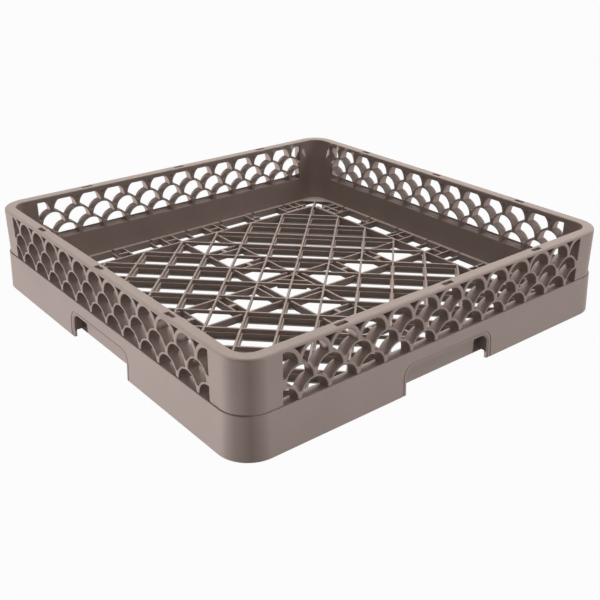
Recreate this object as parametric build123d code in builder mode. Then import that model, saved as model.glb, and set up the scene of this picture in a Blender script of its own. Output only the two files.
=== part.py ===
"""Dishwasher cutlery rack: an open square basket, moulded in one piece.

The foot is a plain skirt with a handle notch in each side. Above it stands a deep wall
pierced by three rows of fish-scale arches, closed by a flat rim. The floor is a lattice
of ribs at 45 degrees inside a square frame, tied to the wall by short ribs.
The origin is at the centre of the foot, +Z is up and lengths are in millimetres.
"""
from build123d import *
from math import acos, asin, cos, degrees, radians, sin, sqrt
import os

# Overall form
foot_width = 500.0
rack_height = 97.5
corner_radius = 33.0
skirt_draft = 3.0
skirt_wall = 3.5
wall_setback = 3.8
wall_depth = 12.5
inner_wall = 3.5
rim_bar = 3.9
rim_bevel = 2.0

# Fish-scale lattice in each wall
scale_pitch = 33.4
scale_rise = 17.4
scale_rows = 3
scale_web = 5.0
scale_point = 10.4
arch_sides = 5
foot_sides = 2
arch_stilt = 1.9
end_reach = 1.2
least_post = 40.0
sill_drop = 1.7
sill_wall = 3.2

# Blind pockets between the crowns of the top row, and slots in the rim
pocket_roof = 3.2
pocket_web = 4.3
pocket_depth = 9.0
slot_length = 13.0
slot_width = 5.0
slot_depth = 2.8

# Handle in each side of the skirt
notch_width = 114.0
notch_height = 27.0
notch_round = 9.0
notch_web = 2.5
web_lift = 7.5

# Floor lattice
floor_height = 11.4
rib = 2.5
tie_rib = 2.2
grid_pitch = 56.0
least_border = 30.0
channel_height = 7.2
ledge_height = 9.0
ledge = 5.0

# Sizes that follow from those above
wall_width = foot_width - 2 * wall_setback
basket_width = wall_width - 2 * wall_depth
wall_corner = corner_radius - wall_setback
basket_corner = wall_corner - wall_depth
arch_radius = (scale_pitch - scale_web) / 2
ring_radius = scale_pitch / 2
columns = 2 * int((wall_width - 2 * least_post) / (2 * scale_pitch))
lattice_half = columns * scale_pitch / 2 + end_reach
top_row_height = rack_height - rim_bar - arch_radius
first_row_height = top_row_height - (scale_rows - 1) * scale_rise
sill_height = first_row_height - arch_stilt
sill_angle = degrees(asin(arch_stilt / arch_radius))
skirt_height = sill_height + sill_drop
hollow_height = sill_height - sill_wall
grid_cells = int((basket_width - 2 * least_border) / grid_pitch)
frame_half = grid_cells * grid_pitch / 2


def circle_points(center, radius, start, end, sides):
    """Corners of a many-sided arc about a centre, from one angle to another in degrees."""
    angles = [radians(start + (end - start) * i / sides) for i in range(sides + 1)]
    return [(center[0] + radius * cos(a), center[1] + radius * sin(a)) for a in angles]


def mirrored(points, axis):
    """The same points on the other side of the upright line at axis, in reverse order."""
    return [(2 * axis - x, z) for x, z in reversed(points)]


def scale_foot(center):
    """The right lower edge of a scale: it follows the ring of the arch below down to a point."""
    below = (center[0] + ring_radius, center[1] - scale_rise)
    start = degrees(acos(-scale_web / 2 / ring_radius))
    end = 180 - degrees(asin((scale_rise - scale_point) / ring_radius))
    edge = circle_points(below, ring_radius, start, end, foot_sides)
    return edge[1:-1] + [(center[0], center[1] - scale_point)]


def scale_outline(center, row):
    """A whole opening: a round arch over a pointed foot, or over the sill in the lowest row."""
    if row == 0:
        return circle_points(center, arch_radius, 180 + sill_angle, -sill_angle, arch_sides)
    foot = scale_foot(center)
    arch = circle_points(center, arch_radius, 180, 0, arch_sides)
    return arch + foot + mirrored(foot[:-1], center[0])


def end_outline(center, row):
    """The half opening at the left end of the lattice, cut off by an upright edge."""
    start = degrees(acos(-end_reach / arch_radius))
    if row == 0:
        arch = circle_points(center, arch_radius, start, -sill_angle, arch_sides // 2 + 1)
        return arch + [(-lattice_half, sill_height)]
    arch = circle_points(center, arch_radius, start, 0, arch_sides // 2 + 1)
    return arch + scale_foot(center) + [(-lattice_half, center[1] - scale_point)]


def lattice_outlines():
    """All openings of one wall, with every second row half a pitch out of step."""
    outlines = []
    for row in range(scale_rows):
        height = first_row_height + row * scale_rise
        if row % 2:
            places = [(i + 0.5) * scale_pitch for i in range(-columns // 2, columns // 2)]
        else:
            places = [i * scale_pitch for i in range(1 - columns // 2, columns // 2)]
            end = end_outline((-columns * scale_pitch / 2, height), row)
            outlines += [end, mirrored(end, 0)]
        outlines += [scale_outline((x, height), row) for x in places]
    return outlines


def pocket_outline(x):
    """The three-cornered pocket between two crowns of the top row."""
    reach = arch_radius + pocket_web
    roof = rack_height - pocket_roof
    half_width = ring_radius - sqrt(reach**2 - (roof - top_row_height) ** 2)
    tip = top_row_height + sqrt(reach**2 - ring_radius**2)
    return [(x - half_width, roof), (x + half_width, roof), (x, tip)]


# Scale openings through two facing walls, drawn on the upright middle plane
with BuildPart() as scales:
    with BuildSketch(Plane.XZ):
        for outline in lattice_outlines():
            with BuildLine():
                Polyline(*outline, close=True)
            make_face()
    extrude(amount=foot_width, both=True)

# Blind pockets of the front wall
with BuildPart() as pockets:
    with BuildSketch(Plane.XZ.offset(wall_width / 2 - pocket_depth)):
        for i in range(columns):
            with BuildLine():
                Polyline(*pocket_outline((i + 0.5 - columns / 2) * scale_pitch), close=True)
            make_face()
    extrude(amount=foot_width)

# Space between the skirt and the inner wall, open below and closed at the handle ends
with BuildPart() as hollow:
    with BuildSketch():
        skirt_inside = foot_width - 2 * skirt_wall
        RectangleRounded(skirt_inside, skirt_inside, corner_radius - skirt_wall)
    extrude(amount=hollow_height, taper=skirt_draft)
    with BuildSketch():
        inner_wall_outside = basket_width + 2 * inner_wall
        RectangleRounded(inner_wall_outside, inner_wall_outside, basket_corner + inner_wall)
    extrude(amount=hollow_height, mode=Mode.SUBTRACT)
    # Webs at both ends of each handle are left standing, clear of the table
    web_place = (notch_width + notch_web) / 2
    web_foot = (Align.CENTER, Align.CENTER, Align.MIN)
    with Locations((web_place, 0, web_lift), (-web_place, 0, web_lift)):
        Box(notch_web, foot_width, hollow_height, align=web_foot, mode=Mode.SUBTRACT)
    with Locations((0, web_place, web_lift), (0, -web_place, web_lift)):
        Box(foot_width, notch_web, hollow_height, align=web_foot, mode=Mode.SUBTRACT)

# Handle notch through the front skirt, with round upper corners
with BuildPart() as notch:
    with BuildSketch(Plane.XZ.offset(inner_wall_outside / 2)):
        RectangleRounded(notch_width, 2 * notch_height, notch_round)
    extrude(amount=foot_width)

# Floor ribs: frame, both diagonals and channel edges
with BuildPart() as floor:
    with BuildSketch():
        Rectangle(2 * frame_half + rib, 2 * frame_half + rib)
        Rectangle(2 * frame_half - rib, 2 * frame_half - rib, mode=Mode.SUBTRACT)
        for k in range(1 - grid_cells, grid_cells):
            shift = k * grid_pitch / 2
            length = sqrt(2) * (2 * frame_half - abs(k) * grid_pitch)
            with Locations((-shift, shift)):
                Rectangle(length, rib, rotation=45)
            with Locations((shift, shift)):
                Rectangle(length, rib, rotation=-45)
        with GridLocations(grid_pitch, 0, 2, 1):
            Rectangle(rib, 2 * frame_half)
        with GridLocations(0, grid_pitch, 1, 2):
            Rectangle(2 * frame_half, rib)
    extrude(amount=floor_height)
    # Two crossing channels under the lattice
    Box(grid_pitch - rib, 2 * frame_half - rib, 2 * channel_height, mode=Mode.SUBTRACT)
    Box(2 * frame_half - rib, grid_pitch - rib, 2 * channel_height, mode=Mode.SUBTRACT)
    # Ties from the frame to the wall, as high as the ledge
    with BuildSketch():
        tie_length = basket_width / 2 - frame_half
        tie_middle = frame_half + tie_length / 2
        corner_length = sqrt(2) * tie_length
        for i in range(grid_cells):
            place = (i + 0.5) * grid_pitch - frame_half
            with Locations((place, tie_middle), (place, -tie_middle)):
                Rectangle(tie_rib, tie_length)
            with Locations((tie_middle, place), (-tie_middle, place)):
                Rectangle(tie_length, tie_rib)
        with Locations((tie_middle, tie_middle), (-tie_middle, -tie_middle)):
            Rectangle(corner_length, tie_rib, rotation=45)
        with Locations((tie_middle, -tie_middle), (-tie_middle, tie_middle)):
            Rectangle(corner_length, tie_rib, rotation=-45)
    extrude(amount=ledge_height)

with BuildPart() as rack:
    with BuildSketch():
        RectangleRounded(foot_width, foot_width, corner_radius)
    extrude(amount=skirt_height, taper=skirt_draft)
    with BuildSketch(Plane.XY.offset(skirt_height)):
        RectangleRounded(wall_width, wall_width, wall_corner)
    extrude(amount=rack_height - skirt_height)
    chamfer(faces().sort_by(Axis.Z)[-1].edges(), rim_bevel)
    with BuildSketch(Plane.XY.offset(ledge_height)):
        RectangleRounded(basket_width, basket_width, basket_corner)
    extrude(amount=rack_height, mode=Mode.SUBTRACT)
    with BuildSketch():
        RectangleRounded(basket_width - 2 * ledge, basket_width - 2 * ledge, basket_corner - ledge)
    extrude(amount=ledge_height, mode=Mode.SUBTRACT)
    add(hollow.part, mode=Mode.SUBTRACT)
    for side in range(2):
        add(scales.part, rotation=(0, 0, 90 * side), mode=Mode.SUBTRACT)
    for side in range(4):
        add(pockets.part, rotation=(0, 0, 90 * side), mode=Mode.SUBTRACT)
        add(notch.part, rotation=(0, 0, 90 * side), mode=Mode.SUBTRACT)
    rim_middle = (wall_width - wall_depth) / 2
    slot_step = columns // 3 * scale_pitch
    with Locations((0, rim_middle, rack_height), (0, -rim_middle, rack_height)):
        with GridLocations(slot_step, 0, 3, 1):
            Box(slot_length, slot_width, 2 * slot_depth, mode=Mode.SUBTRACT)
    with Locations((rim_middle, 0, rack_height), (-rim_middle, 0, rack_height)):
        with GridLocations(0, slot_step, 1, 3):
            Box(slot_width, slot_length, 2 * slot_depth, mode=Mode.SUBTRACT)
    add(floor.part)

rack.part.label = "rack"
os.makedirs("parts", exist_ok=True)
export_step(rack.part, "parts/rack.step")
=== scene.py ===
"""Looks of the dishwasher cutlery rack: one smooth moulding of taupe plastic on a white table.

The moulding is built in millimetres, in the frame of the part, and scaled to metres at the end.
It has the form of the part, with true arcs, rounded edges and the fine ribs of the floor.
"""

import bmesh
import bpy
from math import acos, asin, cos, degrees, pi, radians, sin, sqrt, tan
from mathutils import Matrix, Vector


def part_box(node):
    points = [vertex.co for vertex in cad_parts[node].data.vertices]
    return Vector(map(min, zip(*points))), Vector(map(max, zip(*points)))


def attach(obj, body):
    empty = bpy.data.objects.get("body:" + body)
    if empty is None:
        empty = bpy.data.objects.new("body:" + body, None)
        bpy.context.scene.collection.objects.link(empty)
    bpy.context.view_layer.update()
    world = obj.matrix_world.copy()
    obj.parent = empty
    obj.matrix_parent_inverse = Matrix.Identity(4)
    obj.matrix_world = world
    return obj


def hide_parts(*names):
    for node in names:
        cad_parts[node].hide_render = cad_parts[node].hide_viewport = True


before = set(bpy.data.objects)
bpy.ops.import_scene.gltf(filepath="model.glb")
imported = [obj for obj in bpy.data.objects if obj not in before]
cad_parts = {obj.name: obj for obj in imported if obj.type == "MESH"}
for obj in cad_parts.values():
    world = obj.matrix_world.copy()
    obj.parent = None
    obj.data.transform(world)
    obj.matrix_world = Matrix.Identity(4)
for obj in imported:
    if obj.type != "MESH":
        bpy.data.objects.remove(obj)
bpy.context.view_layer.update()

MM = 0.001
low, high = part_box("rack")

# Overall form, in millimetres and degrees
FOOT_WIDTH = (high.x - low.x) / MM
RACK_HEIGHT = (high.z - low.z) / MM
CORNER_RADIUS = 33.0
SKIRT_DRAFT = 3.0
SKIRT_WALL = 3.5
WALL_SETBACK = 3.8
WALL_DEPTH = 12.5
INNER_WALL = 3.5
RIM_BAR = 3.9
RIM_ROUND = 2.7
RIM_INNER_ROUND = 1.5
SHOULDER_ROUND = 1.0
FOOT_ROUND = 0.6
CORNER_STEPS = 24
ROUND_STEPS = 4
EDGE_STEPS = 2
QUARTERS = ((1, 1), (-1, 1), (-1, -1), (1, -1))

# Cuts: how far they reach past a face, how far before the wall's face the scales start, so that
# the shoulder of the skirt stays, and a gap that keeps faces from coinciding
CUT_PAST = 1.0
CUT_START = 0.2
FACE_GAP = 0.02

# Fish-scale lattice in each wall
SCALE_PITCH = 33.4
SCALE_RISE = 17.4
SCALE_ROWS = 3
SCALE_WEB = 5.0
SCALE_POINT = 10.4
SCALE_COLUMNS = 12
ARCH_STILT = 1.9
END_REACH = 1.2
SILL_DROP = 1.7
SILL_WALL = 3.2
ARCH_STEPS = 16
FOOT_STEPS = 6
EDGE_ROUND = 1.0

# Inner lip of the rim, across the crowns of the top row, and round marks between them
LIP_HEIGHT = 91.2
LIP_DEPTH = 3.2
LIP_STEP = 0.3
MARK_HEIGHT = 89.5
MARK_RADIUS = 1.6
MARK_DEPTH = 1.2
MARK_STEPS = 16

# Blind pockets between the crowns of the top row, and slots in the rim
POCKET_ROOF = 3.2
POCKET_WEB = 4.3
POCKET_DEPTH = 9.0
SLOT_COLUMNS = 4
SLOT_LENGTH = 13.0
SLOT_WIDTH = 5.0
SLOT_DEPTH = 3.3
SLOT_ROUND = 0.8

# Handle in each side of the skirt
NOTCH_WIDTH = 114.0
NOTCH_HEIGHT = 27.0
NOTCH_ROUND = 9.0
NOTCH_WEB = 2.5
WEB_BITE = 1.0
WEB_LIFT = 7.5
PANEL_LIFT = 3.0
NOTCH_BAND = 6.2
NOTCH_BAND_DEPTH = 0.7
NOTCH_BEAD_PLACE = 2.9
NOTCH_BEAD_WIDTH = 2.6

# Floor lattice
FLOOR_HEIGHT = 11.4
RIB = 2.5
RIB_ROUND = 0.7
RIB_BASE = 5.0
RIB_STEP = 6.4
TIE_RIB = 2.2
TIE_HEIGHT = 5.0
TIE_SLIT = 2.8
GRID_PITCH = 56.0
GRID_CELLS = 7
CHANNEL_HEIGHT = 7.2
CHANNEL_EDGE = 25.0
CHANNEL_RIB_HEIGHT = 8.8
CROSS_PLACES = (84.0, 140.0)
CROSS_GAP = 11.0
CROSS_RUNG = 5.0
CROSS_END = 34.0
CENTER_RIB = 11.0
LEDGE_HEIGHT = 9.0
LEDGE = 5.0
LEDGE_LIP = 2.2
BORDER_RIBS = (42.0, 97.5, 155.0, 175.0, 187.0)
BORDER_BARS = ((25.0, 42.0, 215.0), (97.5, 112.0, 215.0), (155.0, 196.0, 204.0), (155.0, 196.0, 214.0))
GUSSET = 42.0
GUSSET_FOOT = 7.0

# Sizes that follow from those above
FOOT_HALF = FOOT_WIDTH / 2
CORNER_CENTER = FOOT_HALF - CORNER_RADIUS
WALL_HALF = FOOT_HALF - WALL_SETBACK
BASKET_HALF = WALL_HALF - WALL_DEPTH
PANEL_HALF = BASKET_HALF + INNER_WALL
ARCH_RADIUS = (SCALE_PITCH - SCALE_WEB) / 2
RING_RADIUS = SCALE_PITCH / 2
LATTICE_HALF = SCALE_COLUMNS * SCALE_PITCH / 2 + END_REACH
TOP_ROW = RACK_HEIGHT - RIM_BAR - ARCH_RADIUS
FIRST_ROW = TOP_ROW - (SCALE_ROWS - 1) * SCALE_RISE
SILL_HEIGHT = FIRST_ROW - ARCH_STILT
SKIRT_HEIGHT = SILL_HEIGHT + SILL_DROP
HOLLOW_HEIGHT = SILL_HEIGHT - SILL_WALL
FRAME_HALF = GRID_CELLS * GRID_PITCH / 2

# Looks: colours, and how white the table shows, with painted shade on the table under the rack
# (the painted shade over the far quarter of the floor by x + y in metres, the painted shadow beside
# each diagonal rib in millimetres, its soft edge as a share of the pitch)
SHARP_ANGLE = radians(32)
DARK_TAUPE = (0.38, 0.295, 0.268, 1)
LIGHT_TAUPE = (0.42, 0.326, 0.297, 1)
# The table's own dark colour, which shows where the table's white is taken away for painted shade
TABLE_COLOR = (0.12, 0.1, 0.09, 1)
WHITE = (1, 1, 1, 1)
TABLE_WHITE = 0.97
PAINTED_FAR_QUARTER = (0.19, 0.25)
PAINTED_FAR_WHITE = 0.05
PAINTED_RIB_SHADOW = 7.0
PAINTED_SHADOW_EDGE = 0.01
PAINTED_SHADOW_WHITE = 0.02

# Stage, in metres: softboxes by name, place, size, watts and colour, and distant lights by name,
# side and strength
TABLE_HALF = 3.0
RACK_MIDDLE = Vector((0, 0, 0.05))
FILL = 0.05
SOFTBOXES = (
    ("key", (0.22, 0.26, 1.8), 0.6, 27, (0.95, 1, 0.96)),
    ("left", (-0.92, 0.69, 1.0), 0.5, 0.9, (1, 1, 1)),
    ("right", (0.92, -0.69, 1.0), 0.5, 4, (1, 1, 1)),
    ("front", (-0.63, -0.78, 1.1), 0.5, 1.4, (0.97, 1, 0.95)),
)
BOUNCES = (
    ("left bounce", (-0.85, 0.53), 2.65),
    ("right bounce", (0.53, -0.85), 1.3),
)
BOUNCE_RISE = radians(14)
BOUNCE_BLUR = radians(2)


# Meshes

def loft(parts, rings, wrap=False):
    """Adds a closed skin through rings of equal length, capped at both ends or joined end to end."""
    verts, faces = parts
    first, count = len(verts), len(rings[0])
    verts.extend(p for ring in rings for p in ring)
    for i in range(len(rings) if wrap else len(rings) - 1):
        here, there = first + i * count, first + (i + 1) % len(rings) * count
        for k in range(count):
            m = (k + 1) % count
            faces.append((here + k, here + m, there + m, there + k))
    if not wrap:
        faces.append(tuple(first + k for k in reversed(range(count))))
        faces.append(tuple(first + (len(rings) - 1) * count + k for k in range(count)))


def solid(name, parts):
    """An object made of closed skins, with its faces turned outwards."""
    mesh = bpy.data.meshes.new(name)
    mesh.from_pydata(parts[0], [], parts[1])
    work = bmesh.new()
    work.from_mesh(mesh)
    bmesh.ops.recalc_face_normals(work, faces=work.faces)
    work.to_mesh(mesh)
    work.free()
    piece = bpy.data.objects.new(name, mesh)
    bpy.context.scene.collection.objects.link(piece)
    return piece


def on_four_sides(parts):
    """The same skins on all four sides of the rack."""
    verts, faces = [], []
    for side in range(4):
        turn = Matrix.Rotation(side * pi / 2, 3, "Z")
        faces.extend(tuple(len(verts) + i for i in face) for face in parts[1])
        verts.extend(turn @ Vector(p) for p in parts[0])
    return verts, faces


def arc(center, radius, start, end, steps):
    """Points along an arc from one angle to another, in degrees."""
    angles = [radians(start + (end - start) * i / steps) for i in range(steps + 1)]
    return [(center[0] + radius * cos(a), center[1] + radius * sin(a)) for a in angles]


def mirrored(points, axis):
    """The same points on the other side of the upright line at axis, in reverse order."""
    return [(2 * axis - x, z) for x, z in reversed(points)]


def edge_round(radius):
    """Depth and growth of an opening at each step of its rounded edge, from the face inwards."""
    turns = [pi / 2 * i / EDGE_STEPS for i in range(EDGE_STEPS + 1)]
    return [(FACE_GAP + radius - radius * cos(a), radius - radius * sin(a)) for a in turns]


# Body

def rounded_square(half, z):
    """A level ring around the rack, with its corners about the common corner centre."""
    ring = []
    for quarter, (x, y) in enumerate(QUARTERS):
        center = (x * CORNER_CENTER, y * CORNER_CENTER)
        start = 90 * quarter
        corner = arc(center, half - CORNER_CENTER, start, start + 90, CORNER_STEPS)
        ring += [(px, py, z) for px, py in corner]
    return ring


def skirt_half(z):
    """Half the width of the skirt's drafted outside at a height."""
    return FOOT_HALF - z * tan(radians(SKIRT_DRAFT))


def wall_profile():
    """The section of the walls: half width and height, around the whole loop."""
    shoulder = (skirt_half(SKIRT_HEIGHT) - SHOULDER_ROUND, SKIRT_HEIGHT - SHOULDER_ROUND)
    rim = (WALL_HALF - RIM_ROUND, RACK_HEIGHT - RIM_ROUND)
    rim_inside = (BASKET_HALF + RIM_INNER_ROUND, RACK_HEIGHT - RIM_INNER_ROUND)
    profile = arc((FOOT_HALF - FOOT_ROUND, FOOT_ROUND), FOOT_ROUND, -90, 0, EDGE_STEPS)
    profile += arc(shoulder, SHOULDER_ROUND, SKIRT_DRAFT, 90, ROUND_STEPS)
    profile += [(WALL_HALF, SKIRT_HEIGHT)]
    profile += arc(rim, RIM_ROUND, 0, 90, ROUND_STEPS)
    profile += arc(rim_inside, RIM_INNER_ROUND, 90, 180, ROUND_STEPS)
    profile += [(BASKET_HALF, LEDGE_HEIGHT)]
    profile += [(BASKET_HALF - LEDGE, LEDGE_HEIGHT)]
    lip = BASKET_HALF - LEDGE + LEDGE_LIP
    profile += [(BASKET_HALF - LEDGE, 0), (lip, 0), (lip, PANEL_LIFT), (PANEL_HALF, PANEL_LIFT)]
    profile += [(PANEL_HALF, HOLLOW_HEIGHT)]
    profile += [(skirt_half(HOLLOW_HEIGHT) - SKIRT_WALL, HOLLOW_HEIGHT)]
    profile += [(FOOT_HALF - SKIRT_WALL, 0)]
    return profile


def build_walls():
    """Skirt, walls and rim in one closed loop around the basket."""
    parts = ([], [])
    loft(parts, [rounded_square(half, z) for half, z in wall_profile()], wrap=True)
    return solid("walls", parts)


def block(parts, lowest, highest):
    """Adds a plain box between two corners."""
    outline = [(lowest[0], lowest[1]), (highest[0], lowest[1])]
    outline += [(highest[0], highest[1]), (lowest[0], highest[1])]
    loft(parts, [[(x, y, z) for x, y in outline] for z in (lowest[2], highest[2])])


def build_webs():
    """The upright webs that close the hollow skirt at both ends of each handle."""
    parts = ([], [])
    inside, top = WEB_BITE - PANEL_HALF, HOLLOW_HEIGHT + WEB_BITE
    side = NOTCH_WIDTH / 2 + FACE_GAP
    for place in (-side - NOTCH_WEB, side):
        lowest = (place, SKIRT_WALL - FOOT_HALF, WEB_LIFT)
        block(parts, lowest, (place + NOTCH_WEB, inside, top))
    return solid("webs", on_four_sides(parts))


# Openings

def scale_foot(center, grow):
    """The right lower edge of a scale, along the ring of the arch below to its point."""
    below = (center[0] + RING_RADIUS, center[1] - SCALE_RISE)
    radius = RING_RADIUS - grow
    start = degrees(acos(-(SCALE_WEB / 2 - grow) / radius))
    end = 180 - degrees(asin((SCALE_RISE - SCALE_POINT - grow) / radius))
    return arc(below, radius, start, end, FOOT_STEPS)


def sill_angle(grow):
    """How far the lowest arches reach past their half circle, in degrees."""
    return degrees(asin((ARCH_STILT + grow) / (ARCH_RADIUS + grow)))


def scale_outline(center, row, grow):
    """A whole opening: a round arch over a pointed foot, or over the sill in the lowest row."""
    radius = ARCH_RADIUS + grow
    if row == 0:
        reach = sill_angle(grow)
        return arc(center, radius, 180 + reach, -reach, ARCH_STEPS)
    foot = scale_foot(center, grow)
    return arc(center, radius, 180, 0, ARCH_STEPS) + foot + mirrored(foot, center[0])


def end_outline(center, row, grow):
    """The half opening at the left end of the lattice, cut off by an upright edge."""
    radius = ARCH_RADIUS + grow
    start = degrees(acos(-(END_REACH + grow) / radius))
    edge = -LATTICE_HALF - grow
    if row == 0:
        arch = arc(center, radius, start, -sill_angle(grow), ARCH_STEPS // 2)
        return arch + [(edge, SILL_HEIGHT - grow)]
    arch = arc(center, radius, start, 0, ARCH_STEPS // 2)
    return arch + scale_foot(center, grow) + [(edge, center[1] - SCALE_POINT - grow)]


def pocket_outline(x, grow):
    """The pocket between two crowns of the top row, with its sides along their rings."""
    reach = ARCH_RADIUS + POCKET_WEB - grow
    rise = RACK_HEIGHT - POCKET_ROOF + grow - TOP_ROW
    start, end = degrees(asin(rise / reach)), degrees(acos(RING_RADIUS / reach))
    side = arc((x - RING_RADIUS, TOP_ROW), reach, start, end, FOOT_STEPS)
    return side + mirrored(side, x)[1:]


def notch_outline(grow):
    """The handle notch: straight sides down past the foot, and round upper corners."""
    half, top = NOTCH_WIDTH / 2, NOTCH_HEIGHT
    center = (half - NOTCH_ROUND, top - NOTCH_ROUND)
    right = arc(center, NOTCH_ROUND + grow, 90, 0, FOOT_STEPS) + [(half + grow, -NOTCH_ROUND)]
    return mirrored(right, 0) + right


def lattice_outlines(grow, top=RACK_HEIGHT):
    """All scale openings of one wall, no higher than a level: odd rows are half a pitch aside."""
    outlines = []
    half = SCALE_COLUMNS // 2
    for row in range(SCALE_ROWS):
        height = FIRST_ROW + row * SCALE_RISE
        if row % 2:
            places = [(i + 0.5) * SCALE_PITCH for i in range(-half, half)]
        else:
            places = [i * SCALE_PITCH for i in range(1 - half, half)]
            end = end_outline((-half * SCALE_PITCH, height), row, grow)
            outlines += [end, mirrored(end, 0)]
        outlines += [scale_outline((x, height), row, grow) for x in places]
    return [[(x, min(z, top)) for x, z in outline] for outline in outlines]


def upright(outline, depth):
    """Points of an outline on the front wall, at a depth behind the wall's face."""
    return [(x, depth - WALL_HALF, z) for x, z in outline]


def on_skirt(outline, depth):
    """Points of an outline on the front skirt, at a depth behind its drafted face."""
    return [(x, depth - skirt_half(z), z) for x, z in outline]


def cut_scales(parts):
    """Adds the scale openings, right through the front wall and rounded at both faces."""
    lip = WALL_DEPTH - LIP_DEPTH
    steps = [(-CUT_START, EDGE_ROUND, RACK_HEIGHT)]
    steps += [(depth, grow, RACK_HEIGHT) for depth, grow in edge_round(EDGE_ROUND)]
    steps += [(lip, 0, RACK_HEIGHT), (lip + LIP_STEP, 0, LIP_HEIGHT)]
    for depth, grow in reversed(edge_round(EDGE_ROUND)):
        steps.append((WALL_DEPTH - depth, grow, LIP_HEIGHT + grow))
    steps += [(WALL_DEPTH + CUT_PAST, EDGE_ROUND, LIP_HEIGHT + EDGE_ROUND)]
    layers = []
    for depth, grow, top in steps:
        layers.append([upright(outline, depth) for outline in lattice_outlines(grow, top)])
    for rings in zip(*layers):
        loft(parts, rings)


def between_crowns():
    """The places between the crowns of the top row, along the wall."""
    return [(i + 0.5 - SCALE_COLUMNS / 2) * SCALE_PITCH for i in range(SCALE_COLUMNS)]


def cut_pockets(parts):
    """Adds the blind pockets of the front wall."""
    steps = [(-CUT_PAST, EDGE_ROUND)] + edge_round(EDGE_ROUND) + [(POCKET_DEPTH, 0)]
    for x in between_crowns():
        loft(parts, [upright(pocket_outline(x, grow), depth) for depth, grow in steps])


def cut_marks(parts):
    """Adds the shallow round marks on the inside of the front wall."""
    depths = (WALL_DEPTH - MARK_DEPTH, WALL_DEPTH + CUT_PAST)
    for x in between_crowns():
        circle = arc((x, MARK_HEIGHT), MARK_RADIUS, 0, 360, MARK_STEPS)[:-1]
        loft(parts, [upright(circle, depth) for depth in depths])


def slot_outline(place, grow):
    """A slot of the front rim seen from above, with rounded corners."""
    middle = -(WALL_HALF + BASKET_HALF) / 2
    along, across = SLOT_LENGTH / 2 - SLOT_ROUND, SLOT_WIDTH / 2 - SLOT_ROUND
    outline = []
    for quarter, (x, y) in enumerate(QUARTERS):
        center = (place + x * along, middle + y * across)
        outline += arc(center, SLOT_ROUND + grow, 90 * quarter, 90 * quarter + 90, ROUND_STEPS)
    return outline


def cut_slots(parts):
    """Adds the three slots in the front rim."""
    step = SLOT_COLUMNS * SCALE_PITCH
    edge = SLOT_ROUND / 2
    for place in (-step, 0, step):
        rings = []
        for drop, grow in ((-CUT_PAST, edge), (FACE_GAP, edge), (edge, 0), (SLOT_DEPTH, 0)):
            rings.append([(x, y, RACK_HEIGHT - drop) for x, y in slot_outline(place, grow)])
        loft(parts, rings)


def tie_places():
    """The places of the ties along the wall, one for each cell of the floor."""
    return [(i + 0.5) * GRID_PITCH - FRAME_HALF for i in range(GRID_CELLS)]


def cut_slits(parts):
    """Adds the narrow slits in the front wall's ledge, above the ties."""
    inside, top = LEDGE + CUT_PAST - BASKET_HALF, LEDGE_HEIGHT + CUT_PAST
    for place in tie_places():
        lowest = (place - TIE_SLIT / 2, -BASKET_HALF, TIE_HEIGHT)
        block(parts, lowest, (place + TIE_SLIT / 2, inside, top))


def cut_notch(parts):
    """Adds the handle notch of the front skirt, in its shallow band with a bead."""
    bead = NOTCH_BEAD_WIDTH / 2
    bead_side = NOTCH_BAND_DEPTH / 4
    steps = [(-WALL_SETBACK, NOTCH_BAND), (FACE_GAP, NOTCH_BAND)]
    steps += [(NOTCH_BAND_DEPTH, NOTCH_BAND - NOTCH_BAND_DEPTH)]
    steps += [(NOTCH_BAND_DEPTH, NOTCH_BEAD_PLACE + bead)]
    steps += [(bead_side, NOTCH_BEAD_PLACE + bead / 2)]
    steps += [(FACE_GAP, NOTCH_BEAD_PLACE)]
    steps += [(bead_side, NOTCH_BEAD_PLACE - bead / 2)]
    steps += [(NOTCH_BAND_DEPTH, NOTCH_BEAD_PLACE - bead)]
    steps += [(NOTCH_BAND_DEPTH + depth, grow) for depth, grow in edge_round(EDGE_ROUND)]
    steps += [(SKIRT_WALL + WALL_SETBACK, 0)]
    loft(parts, [on_skirt(notch_outline(grow), depth) for depth, grow in steps])


def build_cuts():
    """Everything that is cut out of the walls, on all four sides."""
    parts = ([], [])
    cut_scales(parts)
    cut_pockets(parts)
    cut_marks(parts)
    cut_slots(parts)
    cut_slits(parts)
    cut_notch(parts)
    return solid("cuts", on_four_sides(parts))


# Floor

def rib_section(width, top):
    """The section of a plain rib: across and height, with a rounded top."""
    half = width / 2 - RIB_ROUND
    right = arc((half, top - RIB_ROUND), RIB_ROUND, 0, 90, ROUND_STEPS)
    return [(-width / 2, 0), (width / 2, 0)] + right + mirrored(right, 0)


def stepped_section():
    """The section of a lattice rib: a thick base and a thinner upper part with a rounded top."""
    half, base = RIB / 2, RIB_BASE / 2
    right = [(base, 0)] + arc((base - RIB_ROUND, RIB_STEP - RIB_ROUND), RIB_ROUND, 0, 90, ROUND_STEPS)
    right += [(half, RIB_STEP)]
    right += arc((half - RIB_ROUND, FLOOR_HEIGHT - RIB_ROUND), RIB_ROUND, 0, 90, ROUND_STEPS)
    return right + mirrored(right, 0)


def add_rib(parts, start, end, section):
    """Adds a straight rib of a section between two points of the floor."""
    start, end = Vector(start), Vector(end)
    along = (end - start).normalized()
    across = Vector((along.y, -along.x))
    rings = []
    for place in (start, end):
        ring = [(place + across * offset, z) for offset, z in section]
        rings.append([(p.x, p.y, z) for p, z in ring])
    loft(parts, rings)


def build_frame():
    """The square frame around the lattice."""
    parts = ([], [])
    section = [(FRAME_HALF + offset, z) for offset, z in rib_section(RIB, FLOOR_HEIGHT)]
    loft(parts, [[(half * x, half * y, z) for x, y in QUARTERS] for half, z in section], wrap=True)
    return solid("frame", parts)


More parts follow.
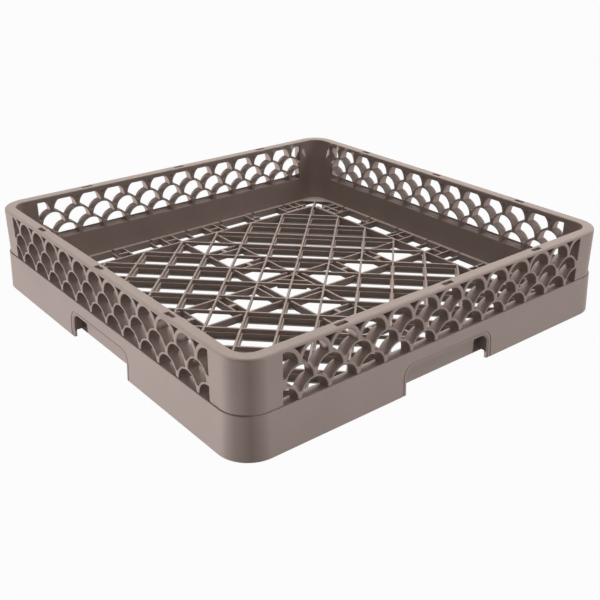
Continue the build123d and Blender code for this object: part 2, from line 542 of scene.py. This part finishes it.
def build_diagonals(slope):
    """The ribs of one diagonal direction, from frame to frame."""
    parts = ([], [])
    for k in range(1 - GRID_CELLS, GRID_CELLS):
        shift = k * GRID_PITCH / 2
        reach = FRAME_HALF - abs(shift)
        start = (-shift - reach, slope * (shift - reach))
        end = (-shift + reach, slope * (shift + reach))
        add_rib(parts, start, end, stepped_section())
    return solid("diagonals", parts)


def build_channel_edges(along_x):
    """The two straight ribs beside one channel, from wall to wall."""
    parts = ([], [])
    wall = BASKET_HALF - LEDGE / 2
    for place in (-CHANNEL_EDGE, CHANNEL_EDGE):
        start, end = (-wall, place), (wall, place)
        if not along_x:
            start, end = start[::-1], end[::-1]
        add_rib(parts, start, end, rib_section(RIB, CHANNEL_RIB_HEIGHT))
    return solid("channel_edges", parts)


def build_cross_ribs():
    """The ribs across each arm of the channels: pairs with a rung, and one beside the crossing."""
    parts = ([], [])
    section = rib_section(TIE_RIB, CHANNEL_RIB_HEIGHT)
    for middle in CROSS_PLACES:
        for place in (middle - CROSS_GAP / 2, middle + CROSS_GAP / 2):
            add_rib(parts, (-CHANNEL_EDGE, -place), (CHANNEL_EDGE, -place), section)
    add_rib(parts, (-CHANNEL_EDGE, -CROSS_END), (CHANNEL_EDGE, -CROSS_END), section)
    return solid("cross_ribs", on_four_sides(parts))


def build_rungs():
    """The short ribs that join the pairs, and the slanted rib in the middle of the rack."""
    parts = ([], [])
    section = rib_section(CROSS_RUNG, CHANNEL_RIB_HEIGHT)
    for middle in CROSS_PLACES:
        add_rib(parts, (0, -middle - CROSS_GAP / 2), (0, CROSS_GAP / 2 - middle), section)
    parts = on_four_sides(parts)
    shift, reach = CENTER_RIB / sqrt(2), CHANNEL_EDGE / 2
    start, end = (shift - reach, shift + reach), (shift + reach, shift - reach)
    add_rib(parts, start, end, rib_section(TIE_RIB, FLOOR_HEIGHT))
    return solid("rungs", parts)


def build_ties():
    """Ribs from the frame to the wall, and the diagonal ribs in the corners."""
    parts = ([], [])
    wall = LEDGE / 2 - BASKET_HALF
    for place in tie_places():
        add_rib(parts, (place, -FRAME_HALF), (place, wall), rib_section(TIE_RIB, TIE_HEIGHT))
    section = rib_section(TIE_RIB, CHANNEL_RIB_HEIGHT)
    for place in BORDER_RIBS:
        for x in (-place, place):
            add_rib(parts, (x, -FRAME_HALF), (x, wall), section)
    corner = 2 * LEDGE - BASKET_HALF
    add_rib(parts, (-FRAME_HALF, -FRAME_HALF), (corner, corner), section)
    return solid("ties", on_four_sides(parts))


def build_border_bars():
    """Short bars along the wall, halfway between the frame and the wall."""
    parts = ([], [])
    section = rib_section(TIE_RIB, CHANNEL_RIB_HEIGHT)
    for near, far, place in BORDER_BARS:
        for side in (-1, 1):
            add_rib(parts, (side * near, -place), (side * far, -place), section)
    return solid("border_bars", on_four_sides(parts))


def build_gussets():
    """Thin three-cornered plates in the corners of the basket."""
    parts = ([], [])
    wall = -BASKET_HALF - INNER_WALL / 2
    outline = [(wall, wall + GUSSET), (wall + GUSSET, wall)]
    outline += arc((-CORNER_CENTER, -CORNER_CENTER), -CORNER_CENTER - wall, 270, 180, CORNER_STEPS)
    loft(parts, [[(x, y, z) for x, y in outline] for z in (GUSSET_FOOT, CHANNEL_RIB_HEIGHT)])
    return solid("gussets", on_four_sides(parts))


def build_channels():
    """The space of the two crossing channels under the lattice."""
    half, long = CHANNEL_EDGE, FRAME_HALF - RIB / 2
    channels = []
    for x, y in ((half, long), (long, half)):
        parts = ([], [])
        block(parts, (-x, -y, -CHANNEL_HEIGHT), (x, y, CHANNEL_HEIGHT))
        channels.append(solid("channel", parts))
    return channels


def combine(target, operation, tools):
    """Queues one Boolean step on the target for each tool."""
    for tool in tools:
        step = target.modifiers.new(tool.name, "BOOLEAN")
        step.operation = operation
        step.solver = "MANIFOLD"
        step.object = tool


def build_rack():
    """The whole moulding as one closed mesh in metres."""
    walls = build_walls()
    grid = [build_webs(), build_frame(), build_diagonals(1), build_diagonals(-1)]
    channels = build_channels()
    ribs = [build_channel_edges(True), build_channel_edges(False), build_cross_ribs()]
    ribs += [build_rungs(), build_ties(), build_border_bars(), build_gussets()]
    cuts = [build_cuts()]
    combine(walls, "UNION", grid)
    combine(walls, "DIFFERENCE", channels)
    combine(walls, "UNION", ribs)
    combine(walls, "DIFFERENCE", cuts)
    bpy.context.view_layer.update()
    graph = bpy.context.evaluated_depsgraph_get()
    mesh = bpy.data.meshes.new_from_object(walls.evaluated_get(graph))
    for tool in [walls] + grid + channels + ribs + cuts:
        bpy.data.objects.remove(tool)
    mesh.transform(Matrix.Scale(MM, 4))
    mesh.polygons.foreach_set("use_smooth", [True] * len(mesh.polygons))
    mesh.set_sharp_from_angle(angle=SHARP_ANGLE)
    rack = bpy.data.objects.new("rack_moulding", mesh)
    bpy.context.scene.collection.objects.link(rack)
    weigh = rack.modifiers.new("flat faces stay flat", "WEIGHTED_NORMAL")
    weigh.keep_sharp = True
    return rack


# Materials

def make_plastic():
    """Satin taupe polypropylene, with a faint mottle and a fine moulded grain."""
    material = bpy.data.materials.new("taupe polypropylene")
    material.use_nodes = True
    nodes, links = material.node_tree.nodes, material.node_tree.links
    shader = nodes["Principled BSDF"]
    shader.inputs["Specular IOR Level"].default_value = 0.2
    place = nodes.new("ShaderNodeTexCoord")
    mottle = nodes.new("ShaderNodeTexNoise")
    mottle.inputs["Scale"].default_value = 18
    mottle.inputs["Detail"].default_value = 5
    links.new(place.outputs["Object"], mottle.inputs["Vector"])
    shade = nodes.new("ShaderNodeValToRGB")
    shade.color_ramp.elements[0].position = 0.3
    shade.color_ramp.elements[0].color = DARK_TAUPE
    shade.color_ramp.elements[1].position = 0.7
    shade.color_ramp.elements[1].color = LIGHT_TAUPE
    links.new(mottle.outputs["Fac"], shade.inputs["Fac"])
    links.new(shade.outputs["Color"], shader.inputs["Base Color"])
    gloss = nodes.new("ShaderNodeMapRange")
    gloss.inputs["To Min"].default_value = 0.40
    gloss.inputs["To Max"].default_value = 0.54
    links.new(mottle.outputs["Fac"], gloss.inputs["Value"])
    links.new(gloss.outputs["Result"], shader.inputs["Roughness"])
    grain = nodes.new("ShaderNodeTexNoise")
    grain.inputs["Scale"].default_value = 1400
    grain.inputs["Detail"].default_value = 3
    links.new(place.outputs["Object"], grain.inputs["Vector"])
    bump = nodes.new("ShaderNodeBump")
    bump.inputs["Strength"].default_value = 0.12
    bump.inputs["Distance"].default_value = 0.0002
    links.new(grain.outputs["Fac"], bump.inputs["Height"])
    links.new(bump.outputs["Normal"], shader.inputs["Normal"])
    return material


def calculate(nodes, links, operation, first, second=None):
    """One step of arithmetic on shader values."""
    step = nodes.new("ShaderNodeMath")
    step.operation = operation
    links.new(first, step.inputs[0])
    if second is not None:
        links.new(second, step.inputs[1])
    return step.outputs[0]


def seen_directly(nodes, links):
    """A value of 1 for rays that show the background itself, and 0 for rays that only light."""
    path = nodes.new("ShaderNodeLightPath")
    value = path.outputs["Is Camera Ray"]
    for name in ("Is Glossy Ray", "Is Transmission Ray"):
        value = calculate(nodes, links, "MAXIMUM", value, path.outputs[name])
    return value


def change(nodes, links, value, before, after, clamp=True):
    """A shader value that runs from one number to another while the given value does so."""
    step = nodes.new("ShaderNodeMapRange")
    step.clamp = clamp
    step.inputs["From Min"].default_value = before[0]
    step.inputs["From Max"].default_value = before[1]
    step.inputs["To Min"].default_value = after[0]
    step.inputs["To Max"].default_value = after[1]
    links.new(value, step.inputs["Value"])
    return step.outputs["Result"]


def table_white_and_painted_shade(nodes, links):
    """How much the table shows as white: less in painted shadows beside the ribs and over the far
    quarter.
    """
    place = nodes.new("ShaderNodeTexCoord")
    split = nodes.new("ShaderNodeSeparateXYZ")
    links.new(place.outputs["Object"], split.inputs[0])
    x, y = split.outputs["X"], split.outputs["Y"]
    ways = [calculate(nodes, links, "ABSOLUTE", way) for way in (x, y)]
    farthest = calculate(nodes, links, "MAXIMUM", *ways)
    edge = FRAME_HALF * MM
    outside = change(nodes, links, farthest, (edge, edge + RIB * MM), (0, TABLE_WHITE))
    nearest = calculate(nodes, links, "MINIMUM", *ways)
    edge = CHANNEL_EDGE * MM
    channel = change(nodes, links, nearest, (edge, edge + RIB * MM), (TABLE_WHITE, 0))
    diagonal = calculate(nodes, links, "ADD", x, y)
    # Painted shade: the table's white fades out over the far quarter of the floor, by x + y
    quarter = change(nodes, links, diagonal, PAINTED_FAR_QUARTER, (TABLE_WHITE, PAINTED_FAR_WHITE))
    cells = change(nodes, links, diagonal, (0, GRID_PITCH * MM), (0, 1), clamp=False)
    # Painted shadow: a dark strip on the table beside each diagonal rib, placed by x + y, not cast by
    # a lamp
    shadow = 1 - PAINTED_RIB_SHADOW * sqrt(2) / GRID_PITCH
    cell = calculate(nodes, links, "FRACT", cells)
    lit = change(nodes, links, cell, (shadow - PAINTED_SHADOW_EDGE, shadow), (1, PAINTED_SHADOW_WHITE))
    below = calculate(nodes, links, "MULTIPLY", quarter, lit)
    below = calculate(nodes, links, "MAXIMUM", channel, below)
    return calculate(nodes, links, "MAXIMUM", outside, below)


def make_table():
    """A table that shows as white around the rack, and as its own dark colour in painted shade below
    it.
    """
    material = bpy.data.materials.new("white table")
    material.use_nodes = True
    nodes, links = material.node_tree.nodes, material.node_tree.links
    shader = nodes["Principled BSDF"]
    shader.inputs["Base Color"].default_value = TABLE_COLOR
    shader.inputs["Roughness"].default_value = 0.8
    shader.inputs["Specular IOR Level"].default_value = 0.1
    glow = nodes.new("ShaderNodeEmission")
    glow.inputs["Strength"].default_value = 1
    seen = seen_directly(nodes, links)
    amount = calculate(nodes, links, "MULTIPLY", seen, table_white_and_painted_shade(nodes, links))
    mix = nodes.new("ShaderNodeMixShader")
    links.new(amount, mix.inputs["Fac"])
    links.new(shader.outputs[0], mix.inputs[1])
    links.new(glow.outputs[0], mix.inputs[2])
    links.new(mix.outputs[0], nodes["Material Output"].inputs["Surface"])
    return material


# Stage

def add_table_part(name, corners, faces, stops_light, material):
    """One part of the table top."""
    mesh = bpy.data.meshes.new(name)
    mesh.from_pydata(corners, [], faces)
    mesh.materials.append(material)
    part = bpy.data.objects.new(name, mesh)
    part.visible_shadow = stops_light
    bpy.context.scene.collection.objects.link(part)


def make_floor():
    """The table top: only the part below the basket stops light that comes from below."""
    material = make_table()
    halves = (BASKET_HALF * MM, TABLE_HALF)
    inner, outer = [[(x * half, y * half, 0) for x, y in QUARTERS] for half in halves]
    ring = [(i, i + 4, (i + 1) % 4 + 4, (i + 1) % 4) for i in range(4)]
    add_table_part("table below", inner, [(0, 1, 2, 3)], True, material)
    add_table_part("table around", inner + outer, ring, False, material)


def make_world():
    """White where it is seen, and an even fill light elsewhere."""
    world = bpy.data.worlds.new("studio")
    bpy.context.scene.world = world
    world.use_nodes = True
    nodes, links = world.node_tree.nodes, world.node_tree.links
    fill = nodes["Background"]
    fill.inputs["Strength"].default_value = FILL
    fill.inputs["Color"].default_value = WHITE
    white = nodes.new("ShaderNodeBackground")
    white.inputs["Color"].default_value = WHITE
    white.inputs["Strength"].default_value = 1
    mix = nodes.new("ShaderNodeMixShader")
    links.new(seen_directly(nodes, links), mix.inputs["Fac"])
    links.new(fill.outputs[0], mix.inputs[1])
    links.new(white.outputs[0], mix.inputs[2])
    links.new(mix.outputs[0], nodes["World Output"].inputs["Surface"])


def add_softbox(name, place, size, power, color):
    """A square area light that faces the rack."""
    data = bpy.data.lights.new(name, "AREA")
    data.size = size
    data.energy = power
    data.color = color
    lamp = bpy.data.objects.new(name, data)
    lamp.location = place
    lamp.rotation_euler = (RACK_MIDDLE - Vector(place)).to_track_quat("-Z", "Y").to_euler()
    bpy.context.scene.collection.objects.link(lamp)


def add_bounce(name, side, strength):
    """A distant light from just below the table's level, like bounce that reaches outer faces only."""
    data = bpy.data.lights.new(name, "SUN")
    data.energy = strength
    data.angle = BOUNCE_BLUR
    lamp = bpy.data.objects.new(name, data)
    way = Vector((-side[0], -side[1], tan(BOUNCE_RISE)))
    lamp.rotation_euler = way.to_track_quat("-Z", "Y").to_euler()
    bpy.context.scene.collection.objects.link(lamp)


def make_camera():
    """The camera of the photograph."""
    azimuth, elevation, roll = radians(-38.73), radians(25.60), radians(-0.07)
    distance, aside, above = 1.01595, 0.01022, -0.05473
    back = Vector((sin(azimuth) * cos(elevation), -cos(azimuth) * cos(elevation), sin(elevation)))
    level = Vector((cos(azimuth), sin(azimuth), 0))
    up = back.cross(level)
    right = level * cos(roll) + up * sin(roll)
    up = up * cos(roll) - level * sin(roll)
    place = RACK_MIDDLE + back * distance + right * aside + up * above
    data = bpy.data.cameras.new("camera")
    data.lens = 52.51
    data.sensor_width = 36
    data.shift_x = 0.0008
    data.shift_y = 0.0008
    camera = bpy.data.objects.new("camera", data)
    turn = Matrix((right, up, back)).transposed().to_4x4()
    camera.matrix_world = Matrix.Translation(place) @ turn
    bpy.context.scene.collection.objects.link(camera)
    bpy.context.scene.camera = camera


rack = build_rack()
rack.data.materials.clear()
rack.data.materials.append(make_plastic())
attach(rack, "root")
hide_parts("rack")

make_floor()
make_world()
for softbox in SOFTBOXES:
    add_softbox(*softbox)
for bounce in BOUNCES:
    add_bounce(*bounce)
make_camera()
bpy.context.scene.view_settings.view_transform = "Standard"
